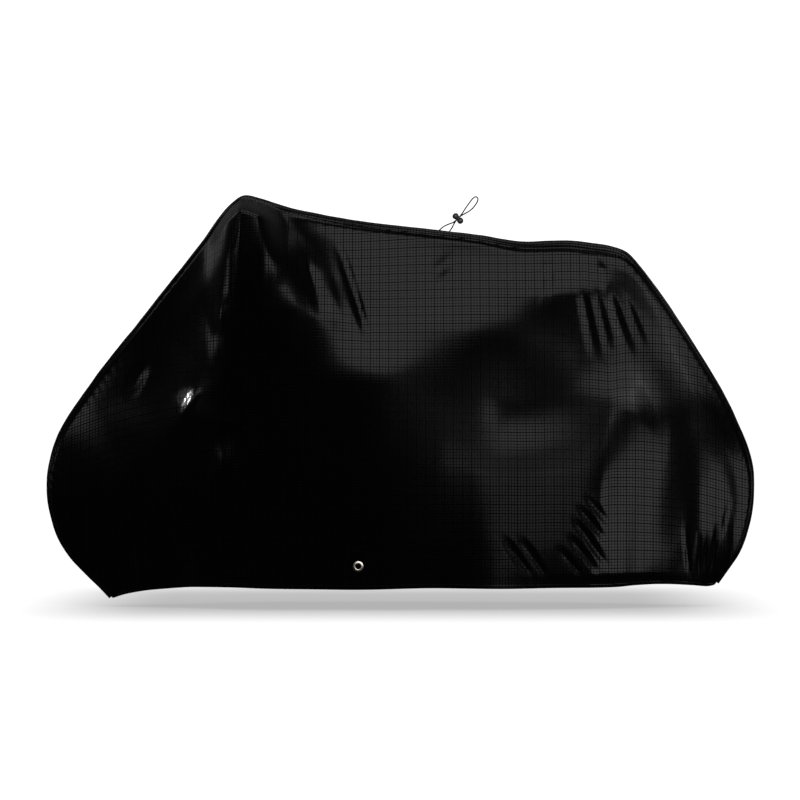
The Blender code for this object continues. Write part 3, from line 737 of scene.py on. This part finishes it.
def stitch_mesh(name, rows):
    """One mesh for all the stitches of a panel, from stitch_row's stitch by ring by side points."""
    points = np.concatenate(rows)
    corner = numbered(points)
    beside = np.roll(corner, -1, axis=2)
    quads = np.stack([corner[:, :-1], beside[:, :-1], beside[:, 1:], corner[:, 1:]], axis=-1).reshape(-1, 4)
    faces = quads.tolist() + corner[:, 0, ::-1].tolist() + corner[:, -1].tolist()
    return smooth_piece(name, points.reshape(-1, 3), faces)


def hem_line(points):
    """The stitching line's points and the cloth's normals along it."""
    run = travelled(points)
    above = run[:, -1:] - run
    normals = surface_normals(points)
    row = np.argmin(abs(above.mean(axis=0) - STITCH_ABOVE_EDGE))
    return points[:, row], normals[:, row]


THREAD = spun_thread("spun_polyester_thread")
for label, side in SIDES:
    line, normals = hem_line(panel_grids[side])
    rows = [stitch_row(to_side(line, side), to_side(normals, side))]
    half = PATCH_HALF - PATCH_STITCH_INSET
    top, low = PATCH_ABOVE - PATCH_STITCH_INSET, -PATCH_BELOW + PATCH_STITCH_INSET
    corners = [(-half, low), (-half, top), (half, top), (half, low), (-half, low)]
    for (x0, z0), (x1, z1) in zip(corners[:-1], corners[1:]):
        share = np.linspace(0.0, 1.0, PATCH_STITCH_POINTS)
        square = eyelet_plane(side, x0 + share * (x1 - x0), z0 + share * (z1 - z0))
        facing = np.tile([0.0, -1.0, 0.0], (len(square), 1))
        rows.append(stitch_row(to_side(square, side), to_side(facing, side)))
    stitches = stitch_mesh("stitching_" + label, rows)
    finish_piece(stitches, THREAD, "cover_cloth")

# ---------- eyelets
# Pressed brass eyelets, nickel plated: a domed flange outside, a barrel through the cloth and its
# reinforcement, and a washer that the barrel's end is rolled over inside.
EYELET_SEGMENTS = 72
# Once round the section: radius and height over the cloth, in millimetres.
EYELET_PROFILE = [
    (7.5, -2.9), (7.5, 0.9), (7.6, 1.4), (7.9, 1.85), (8.4, 2.15), (9.1, 2.32), (10.0, 2.36), (11.0, 2.26),
    (12.0, 2.04), (13.0, 1.70), (13.9, 1.26), (14.6, 0.80), (14.95, 0.48), (15.0, 0.30), (14.9, 0.18),
    (14.5, 0.20), (8.9, 0.20), (8.7, 0.0), (8.7, -2.1), (9.2, -2.2), (12.4, -2.2), (12.8, -2.35),
    (12.9, -2.6), (12.7, -2.85), (12.2, -2.95), (10.6, -3.0), (10.2, -3.25), (9.4, -3.45), (8.5, -3.4),
    (7.8, -3.2),
]
NICKEL = "d8d2c6"
DULL_NICKEL = "8f8a80"


def nickel_plate(name):
    """Nickel over pressed brass: a warm bright mirror, blurred by drawing marks and dulled by handling."""
    nickel = new_material(name)
    place = node(nickel, "TexCoord")
    rubbed = node(nickel, "TexNoise", {}, {"Scale": 420.0, "Detail": 5.0, "Roughness": 0.6},
                  Vector=place.outputs["Object"])
    tint = node(nickel, "Mix", {"data_type": "RGBA"}, {6: colour(NICKEL), 7: colour(DULL_NICKEL)},
                Factor=rubbed.outputs["Fac"])
    drawn = node(nickel, "MapRange", {}, {"To Min": 0.18, "To Max": 0.42}, Value=rubbed.outputs["Fac"])
    marks = node(nickel, "Bump", {}, {"Strength": 0.25, "Distance": 0.0001}, Height=rubbed.outputs["Fac"])
    return finish_surface(
        nickel, {"Metallic": 1.0},
        Base_Color=tint.outputs["Result"], Roughness=drawn.outputs[0], Normal=marks.outputs["Normal"],
    )


def turned_ring(name, profile, segments, place):
    """Closed ring from (radius, height) points in millimetres that go once round its section."""
    turns = full_turn(segments)
    r, h = np.array(profile).T / 1000.0
    points = np.stack([
        r[None, :] * np.cos(turns)[:, None], r[None, :] * np.sin(turns)[:, None], h + 0.0 * turns[:, None]
    ], axis=-1)
    corner = numbered(points)
    next_turn, next_point = np.roll(corner, -1, axis=0), np.roll(corner, -1, axis=1)
    both = np.roll(next_turn, -1, axis=1)
    faces = np.stack([corner, next_point, both, next_turn], axis=-1).reshape(-1, 4)
    return smooth_piece(name, points.reshape(-1, 3), faces.tolist(), place)


NICKELLED_BRASS = nickel_plate("nickel_plated_brass")
for label, side in SIDES:
    outward = to_side(np.array([-EYELET_LEAN_ALONG, -1.0, -EYELET_LEAN_UP]), side)
    centre = to_side(eyelet_centre(side), side)
    axis = Vector(outward).normalized()
    place = Matrix.Translation(Vector(centre)) @ axis.to_track_quat("Z", "Y").to_matrix().to_4x4()
    eyelet = turned_ring("pressed_eyelet_" + label, EYELET_PROFILE, EYELET_SEGMENTS, place)
    finish_piece(eyelet, NICKELLED_BRASS, "eyelet_metal", "eyelet_" + label)

# ---------- tie cord
# A loop of thin round elastic, braided over with black polyester, whose two ends are sewn in under the
# gusset. It stands up through its lock and leans back towards the saddle.
CORD_R = 0.0019
CORD_ROUTE = [
    (0.5439, 0.0095, -0.0956), (0.5560, 0.0095, -0.0855), (0.5700, 0.0098, -0.0785),
    (0.5830, 0.0100, -0.0735), (0.5964, 0.0101, -0.0623), (0.6070, 0.0101, -0.0500),
    (0.6172, 0.0103, -0.0345), (0.6290, 0.0106, -0.0178), (0.6400, 0.0113, -0.0048),
    (0.6437, 0.0117, -0.0022), (0.6478, 0.0121, -0.0019), (0.6511, 0.0125, -0.0042),
    (0.6527, 0.0129, -0.0083), (0.6516, 0.0133, -0.0131), (0.6468, 0.0136, -0.0219),
    (0.6385, 0.0139, -0.0327), (0.6275, 0.0140, -0.0420), (0.6150, 0.0139, -0.0490),
    (0.6050, 0.0139, -0.0550), (0.5964, 0.0139, -0.0623), (0.5895, 0.0139, -0.0705),
    (0.5845, 0.0140, -0.0790), (0.5797, 0.0142, -0.0885), (0.5731, 0.0145, -0.0978),
]
CORD_INTO_GUSSET = 0.006
CORD_SPACING = 0.0006
CORD_TRIAL_POINTS = 1600
CORD_SIDES = 24
BRAID_STRANDS = 8
BRAID_LAY = 0.0075
BRAID_DEPTH = 0.00013
CORD_BLACK = "0b0b0c"


def braided_polyester(name):
    """Braid over rubber: matt black yarn whose raised picks catch a little light."""
    braid = new_material(name)
    flat = node(braid, "UVMap", {"uv_map": "cut"})
    yarn = node(braid, "TexNoise", {"noise_dimensions": "2D"}, {"Scale": 2500.0, "Detail": 2.0},
                Vector=flat.outputs["UV"])
    fluff = node(braid, "Bump", {}, {"Strength": 0.5, "Distance": 0.0001}, Height=yarn.outputs["Fac"])
    dry = node(braid, "MapRange", {}, {"To Min": 0.55, "To Max": 0.80}, Value=yarn.outputs["Fac"])
    return finish_surface(
        braid, {"Base Color": colour(CORD_BLACK), "IOR": 1.5, "Specular IOR Level": 0.30},
        Roughness=dry.outputs[0], Normal=fluff.outputs["Normal"],
    )


def smooth_route(route, spacing):
    """Evenly spaced points on a smooth curve through the route."""
    points = np.array(route)
    knots = distance_along(points)
    slopes = rounded_slopes(knots, points)
    fine = between(knots, points, slopes, np.linspace(0.0, knots[-1], CORD_TRIAL_POINTS))
    walked = distance_along(fine)
    wanted = np.linspace(0.0, walked[-1], int(round(walked[-1] / spacing)) + 1)
    return read_along(wanted, walked, fine)


def braided_tube(name, route):
    """Round cord along a route, its surface raised where strands of the braid cross over."""
    tangents = np.gradient(route, axis=0)
    tangents /= np.linalg.norm(tangents, axis=1)[:, None]
    side = np.cross(tangents, [0.0, 1.0, 0.0])
    side /= np.linalg.norm(side, axis=1)[:, None]
    third = np.cross(tangents, side)
    walked = CORD_SPACING * np.arange(len(route))[:, None]
    turns = full_turn(CORD_SIDES)[None, :]
    twist = math.pi * walked * BRAID_STRANDS / BRAID_LAY
    left = np.cos(BRAID_STRANDS * turns + twist)
    right = np.cos(BRAID_STRANDS * turns - twist)
    radius = CORD_R + BRAID_DEPTH * (np.maximum(left, right) - 1.0)
    ring = np.cos(turns)[..., None] * side[:, None, :] + np.sin(turns)[..., None] * third[:, None, :]
    points = route[:, None, :] + radius[..., None] * ring
    corner = numbered(points)
    beside = np.roll(corner, -1, axis=1)
    faces = np.stack([corner[:-1], corner[1:], beside[1:], beside[:-1]], axis=-1).reshape(-1, 4)
    ends = [corner[0].tolist(), corner[-1, ::-1].tolist()]
    flat = np.stack([walked + 0.0 * turns, CORD_R * turns + 0.0 * walked], axis=-1)
    return lay_flat(smooth_piece(name, points.reshape(-1, 3), faces.tolist() + ends), flat)


def sewn_end(end, before):
    """Where an end of the route stops inside the gusset."""
    inward = Vector(end) - Vector(before)
    return tuple(Vector(end) + CORD_INTO_GUSSET * inward.normalized())


rooted = [sewn_end(*CORD_ROUTE[:2]), *CORD_ROUTE, sewn_end(*CORD_ROUTE[:-3:-1])]
cord_path = smooth_route(rooted, CORD_SPACING)
cord = braided_tube("tie_cord_braid", cord_path)
finish_piece(cord, braided_polyester("braided_black_polyester"), "tie_cord", "tie_cord")

# ---------- cord lock
# A double-ball cord lock moulded in dark grey acetal: a body with a barrel, and a button whose stem slides
# in it against a spring. It grips both strands of the cord at its waist.
LOCK_CENTRE = Vector((0.5964, 0.012, -0.0623))
LOCK_AXIS = Vector((0.71, 0.0, -0.70)).normalized()
LOCK_BALL_R = 0.009
LOCK_HALF_SPACING = 0.009
LOCK_WAIST_R = 0.0070
LOCK_GAP = 0.0003
LOCK_SLOT = (0.0084, 0.0300, 0.0047)
LOCK_SEGMENTS = 64
LOCK_ARC_STEPS = 28
LOCK_EDGE = 0.0005
ACETAL_GREY = "2e2f31"


def moulded_acetal(name):
    """Acetal from a polished mould: dark grey, waxy, with a soft highlight and a faint orange-peel."""
    acetal = new_material(name)
    place = node(acetal, "TexCoord")
    peel = node(acetal, "TexNoise", {}, {"Scale": 700.0, "Detail": 2.0}, Vector=place.outputs["Object"])
    handled = node(acetal, "TexNoise", {}, {"Scale": 160.0, "Detail": 4.0}, Vector=place.outputs["Object"])
    dulled = node(acetal, "MapRange", {}, {"To Min": 0.26, "To Max": 0.46}, Value=handled.outputs["Fac"])
    skin = node(acetal, "Bump", {}, {"Strength": 0.12, "Distance": 0.0001}, Height=peel.outputs["Fac"])
    return finish_surface(
        acetal, {"Base Color": colour(ACETAL_GREY), "IOR": 1.48},
        Roughness=dulled.outputs[0], Normal=skin.outputs["Normal"],
    )


def lock_place():
    across = Vector((0.0, 1.0, 0.0))
    third = LOCK_AXIS.cross(across)
    return Matrix.Translation(LOCK_CENTRE) @ Matrix((across, third, LOCK_AXIS)).transposed().to_4x4()


def ball_arc(centre_h, from_deg, to_deg):
    step = (to_deg - from_deg) / LOCK_ARC_STEPS
    angles = [math.radians(from_deg + step * k) for k in range(LOCK_ARC_STEPS + 1)]
    return [(LOCK_BALL_R * math.cos(a), centre_h + LOCK_BALL_R * math.sin(a)) for a in angles]


def turned_solid(name, profile):
    """Solid turned from (radius, height) points that run from its axis round to its axis again."""
    turns = full_turn(LOCK_SEGMENTS)
    inner = profile[1:-1]
    points = [(0.0, 0.0, profile[0][1]), (0.0, 0.0, profile[-1][1])]
    points += [(r * math.cos(a), r * math.sin(a), h) for r, h in inner for a in turns]
    rings = [[2 + k * LOCK_SEGMENTS + n for n in range(LOCK_SEGMENTS)] for k in range(len(inner))]
    faces = []
    for n in range(LOCK_SEGMENTS):
        m = (n + 1) % LOCK_SEGMENTS
        faces.append((0, rings[0][n], rings[0][m]))
        faces.append((1, rings[-1][m], rings[-1][n]))
        faces.extend((a[n], b[n], b[m], a[m]) for a, b in zip(rings[:-1], rings[1:]))
    return smooth_piece(name, points, faces, lock_place())


def slotted(piece):
    """Cuts the passage for the two strands through the waist."""
    a, b, c = (0.5 * size for size in LOCK_SLOT)
    corners = [(x, y, z) for x in (-a, a) for y in (-b, b) for z in (-c, c)]
    sides = [(0, 1, 3, 2), (4, 6, 7, 5), (0, 4, 5, 1), (2, 3, 7, 6), (0, 2, 6, 4), (1, 5, 7, 3)]
    passage = smooth_piece("passage", corners, sides, lock_place())
    passage.data.shade_flat()
    slot = piece.modifiers.new("slot", "BOOLEAN")
    slot.object = passage
    slot.solver = "EXACT"
    bpy.context.view_layer.update()
    cut = bpy.data.meshes.new_from_object(piece.evaluated_get(bpy.context.evaluated_depsgraph_get()))
    piece.modifiers.clear()
    piece.data = cut
    bpy.data.objects.remove(passage)
    return piece


meet = math.degrees(math.acos(LOCK_WAIST_R / LOCK_BALL_R))
waist_h = LOCK_HALF_SPACING - LOCK_BALL_R * math.sin(math.radians(meet))
body_profile = [
    (0.0, waist_h - LOCK_GAP), (LOCK_WAIST_R - LOCK_EDGE, waist_h - LOCK_GAP),
    (LOCK_WAIST_R, waist_h - LOCK_GAP - LOCK_EDGE), *ball_arc(-LOCK_HALF_SPACING, meet, -90.0),
]
button_profile = [
    *ball_arc(LOCK_HALF_SPACING, 90.0, -meet), (LOCK_WAIST_R - LOCK_EDGE, waist_h), (0.0, waist_h),
]
ACETAL = moulded_acetal("moulded_acetal")
lock_body = slotted(turned_solid("lock_barrel_and_ball", body_profile))
finish_piece(lock_body, ACETAL, "cord_lock", "cord_lock_body")
lock_button = turned_solid("lock_button_ball", button_profile)
finish_piece(lock_button, ACETAL, "cord_lock", "cord_lock_button")

# ---------- floor, surround and lights
# A pale floor that glows evenly, like a light table, in an even white surround. Beneath the cover its glow
# is lowered in a soft pool, a painted shadow. Large softboxes shine on the cloth, which gives back little
# of them.
# Small ones stand close to the saddle, the waist and the rear, and two brighter ones light only the metal,
# the cord and its lock.
FLOOR_BELOW_BAR = 1.148
FLOOR_HALF_SIZE = 60.0
FLOOR_PAINT = "e6e6e6"
WHITE = "ffffff"
OPEN_GLOW = 0.92
# The glow drops to this in a painted shadow beneath the cover, set behind its middle and faded along and
# across.
PAINTED_SHADOW_GLOW = 0.45
SHADE_BEHIND = 0.25
SHADE_ALONG = (0.65, 1.15)
SHADE_ACROSS = (0.30, 1.20)
SURROUND_SEEN = 1.25
SURROUND_LIGHT = 0.02


def glowing_floor(name):
    """White paint over a light table: even and bright, with a soft grey painted shadow beneath the cover.
    """
    painted = new_material(name)
    spot = node(painted, "SeparateXYZ", Vector=node(painted, "TexCoord").outputs["Object"])
    # A soft pool of painted shadow: the glow is lowered beneath the cover and fades out along and across
    # it.
    behind = node(painted, "Math", {"operation": "SUBTRACT"}, {1: SHADE_BEHIND}, _0=spot.outputs["Y"])
    shade = []
    for place, (full, none) in ((spot.outputs["X"], SHADE_ALONG), (behind.outputs[0], SHADE_ACROSS)):
        away = node(painted, "Math", {"operation": "ABSOLUTE"}, _0=place)
        shade.append(node(
            painted, "MapRange", {"interpolation_type": "SMOOTHSTEP"},
            {"From Min": full, "From Max": none, "To Min": 1.0, "To Max": 0.0}, Value=away.outputs[0],
        ))
    along, across = shade
    painted_shadow = node(painted, "Math", {"operation": "MULTIPLY"}, _0=along.outputs[0], _1=across.outputs[0])
    glow = node(
        painted, "MapRange", {}, {"To Min": OPEN_GLOW, "To Max": PAINTED_SHADOW_GLOW}, Value=painted_shadow.outputs[0],
    )
    return finish_surface(
        painted,
        {"Base Color": colour(FLOOR_PAINT), "Roughness": 0.9, "Specular IOR Level": 0.0,
         "Emission Color": colour(WHITE)},
        Emission_Strength=glow.outputs[0],
    )


corners = [(x * FLOOR_HALF_SIZE, y * FLOOR_HALF_SIZE, 0.0) for x, y in ((-1, -1), (1, -1), (1, 1), (-1, 1))]
floor = smooth_piece("floor", corners, [(0, 1, 2, 3)])
floor.data.materials.append(glowing_floor("pale_floor_with_painted_shadow"))
floor.location = (cover_middle[0], 0.0, -FLOOR_BELOW_BAR)
floor.visible_glossy = False
floor.visible_diffuse = False
floor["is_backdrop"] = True

# The surround is bright to look at and lights the cover only faintly.
world = bpy.data.worlds.new("surround")
world.use_nodes = True
world.node_tree.nodes.clear()
seen = node(world, "LightPath")
strength = node(
    world, "MapRange", {}, {"To Min": SURROUND_LIGHT, "To Max": SURROUND_SEEN},
    Value=seen.outputs["Is Camera Ray"],
)
even = node(world, "Background", {}, {"Color": colour(WHITE)}, Strength=strength.outputs["Result"])
node(world, "OutputWorld", Surface=even.outputs["Background"])
scene.world = world
scene.view_settings.view_transform = "Standard"

LIT_GROUPS = ("near_cloth", "far_cloth", "gusset", "trim", "floor")
lit = {name: bpy.data.collections.new("lit_" + name) for name in LIT_GROUPS}
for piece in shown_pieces():
    is_cloth = piece.data.materials[0] in (RIPSTOP, THREAD)
    side = "far_cloth" if piece.name.endswith("_far") else "near_cloth"
    lit[side if is_cloth else "trim"].objects.link(piece)
lit["gusset"].objects.link(gusset)
lit["floor"].objects.link(floor)


def hang_light(name, kind, aim, azimuth, elevation, distance, lights_up):
    """Light that faces the aimed point and shines on one group only. Azimuth is from the camera's side
    towards the back end of the cover."""
    a, e = math.radians(azimuth), math.radians(elevation)
    toward = Vector((math.sin(a) * math.cos(e), -math.cos(a) * math.cos(e), math.sin(e)))
    facing = toward.to_track_quat("Z", "Y").to_matrix().to_4x4()
    lamp = bpy.data.lights.new(name, kind)
    light = bpy.data.objects.new(name, lamp)
    scene.collection.objects.link(light)
    light.matrix_world = Matrix.Translation(Vector(aim) + distance * toward) @ facing
    light.visible_camera = False
    light.light_linking.receiver_collection = lit[lights_up]
    return lamp


def softbox(name, aim, azimuth, elevation, distance, width, height, radiance, lights_up):
    lamp = hang_light(name, "AREA", aim, azimuth, elevation, distance, lights_up)
    lamp.shape = "RECTANGLE"
    lamp.size = width
    lamp.size_y = height
    lamp.energy = radiance * math.pi * width * height


def sunlight(name, azimuth, elevation, spread, irradiance, lights_up):
    lamp = hang_light(name, "SUN", (0.0, 0.0, 0.0), azimuth, elevation, 0.0, lights_up)
    lamp.energy = irradiance
    lamp.angle = math.radians(spread)


MIDDLE = (0.434, -0.15, -0.42)
REAR = (1.25, -0.15, -0.90)
FAR_REAR = (1.25, 0.15, -0.90)
REAR_SLOPE = (1.25, -0.1, -0.47)
RIDGE_SLOPE = (1.26, 0.0, -0.45)
BEHIND_SADDLE = (1.12, -0.2, -0.50)
WAIST = (0.79, -0.2, -0.59)
LOW_BACK = (0.88, -0.2, -0.86)
PINCHED_GLINT = (-0.126, -0.232, -0.578)
softbox("key_light", MIDDLE, 17.0, 42.0, 6.0, 7.4, 3.4, 0.95, "near_cloth")
softbox("right_light", REAR, 41.0, -3.0, 1.5, 1.05, 0.62, 1.0, "near_cloth")
softbox("left_light", MIDDLE, -51.0, 17.0, 6.0, 1.3, 1.4, 1.1, "near_cloth")
softbox("bar_light", MIDDLE, -84.0, 5.0, 6.0, 1.2, 1.0, 0.9, "near_cloth")
softbox("rim_light", MIDDLE, -136.0, 22.0, 6.0, 1.6, 2.4, 0.25, "near_cloth")
softbox("top_light", MIDDLE, 180.0, 72.0, 6.0, 7.0, 3.6, 0.45, "near_cloth")
softbox("saddle_light", BEHIND_SADDLE, 30.0, 20.0, 0.8, 0.60, 0.32, 0.90, "near_cloth")
softbox("low_light", LOW_BACK, 9.0, 7.0, 1.0, 0.24, 0.50, 0.50, "near_cloth")
softbox("waist_light", WAIST, 13.0, 2.0, 0.5, 0.30, 0.16, 0.30, "near_cloth")
softbox("slope_light", REAR_SLOPE, 50.0, 27.0, 1.2, 0.60, 0.48, 0.80, "near_cloth")
softbox("rear_slope_light", RIDGE_SLOPE, 136.0, 27.0, 3.0, 1.8, 1.4, 0.6, "gusset")
softbox("far_key_light", MIDDLE, 163.0, 42.0, 6.0, 7.4, 3.4, 0.95, "far_cloth")
softbox("far_side_light", FAR_REAR, 142.0, -3.0, 1.5, 0.90, 0.62, 0.95, "far_cloth")
softbox("far_front_light", MIDDLE, 227.0, 23.0, 6.0, 2.4, 2.0, 1.0, "far_cloth")
softbox("trim_key", MIDDLE, 10.0, 20.0, 5.0, 7.0, 5.0, 2.9, "trim")
softbox("trim_back", MIDDLE, 200.0, 40.0, 5.0, 3.0, 3.0, 2.6, "trim")
# A narrow spotlight draws the small glint on the pinched fold.
glint = hang_light("glint_light", "SPOT", PINCHED_GLINT, -87.0, 18.0, 3.0, "near_cloth")
glint.energy = 420.0
glint.shadow_soft_size = 0.02
glint.spot_size = math.radians(0.85)
glint.spot_blend = 0.5
sunlight("floor_front", 0.0, 50.0, 40.0, 0.20, "floor")
sunlight("floor_top", 0.0, 85.0, 110.0, 0.35, "floor")
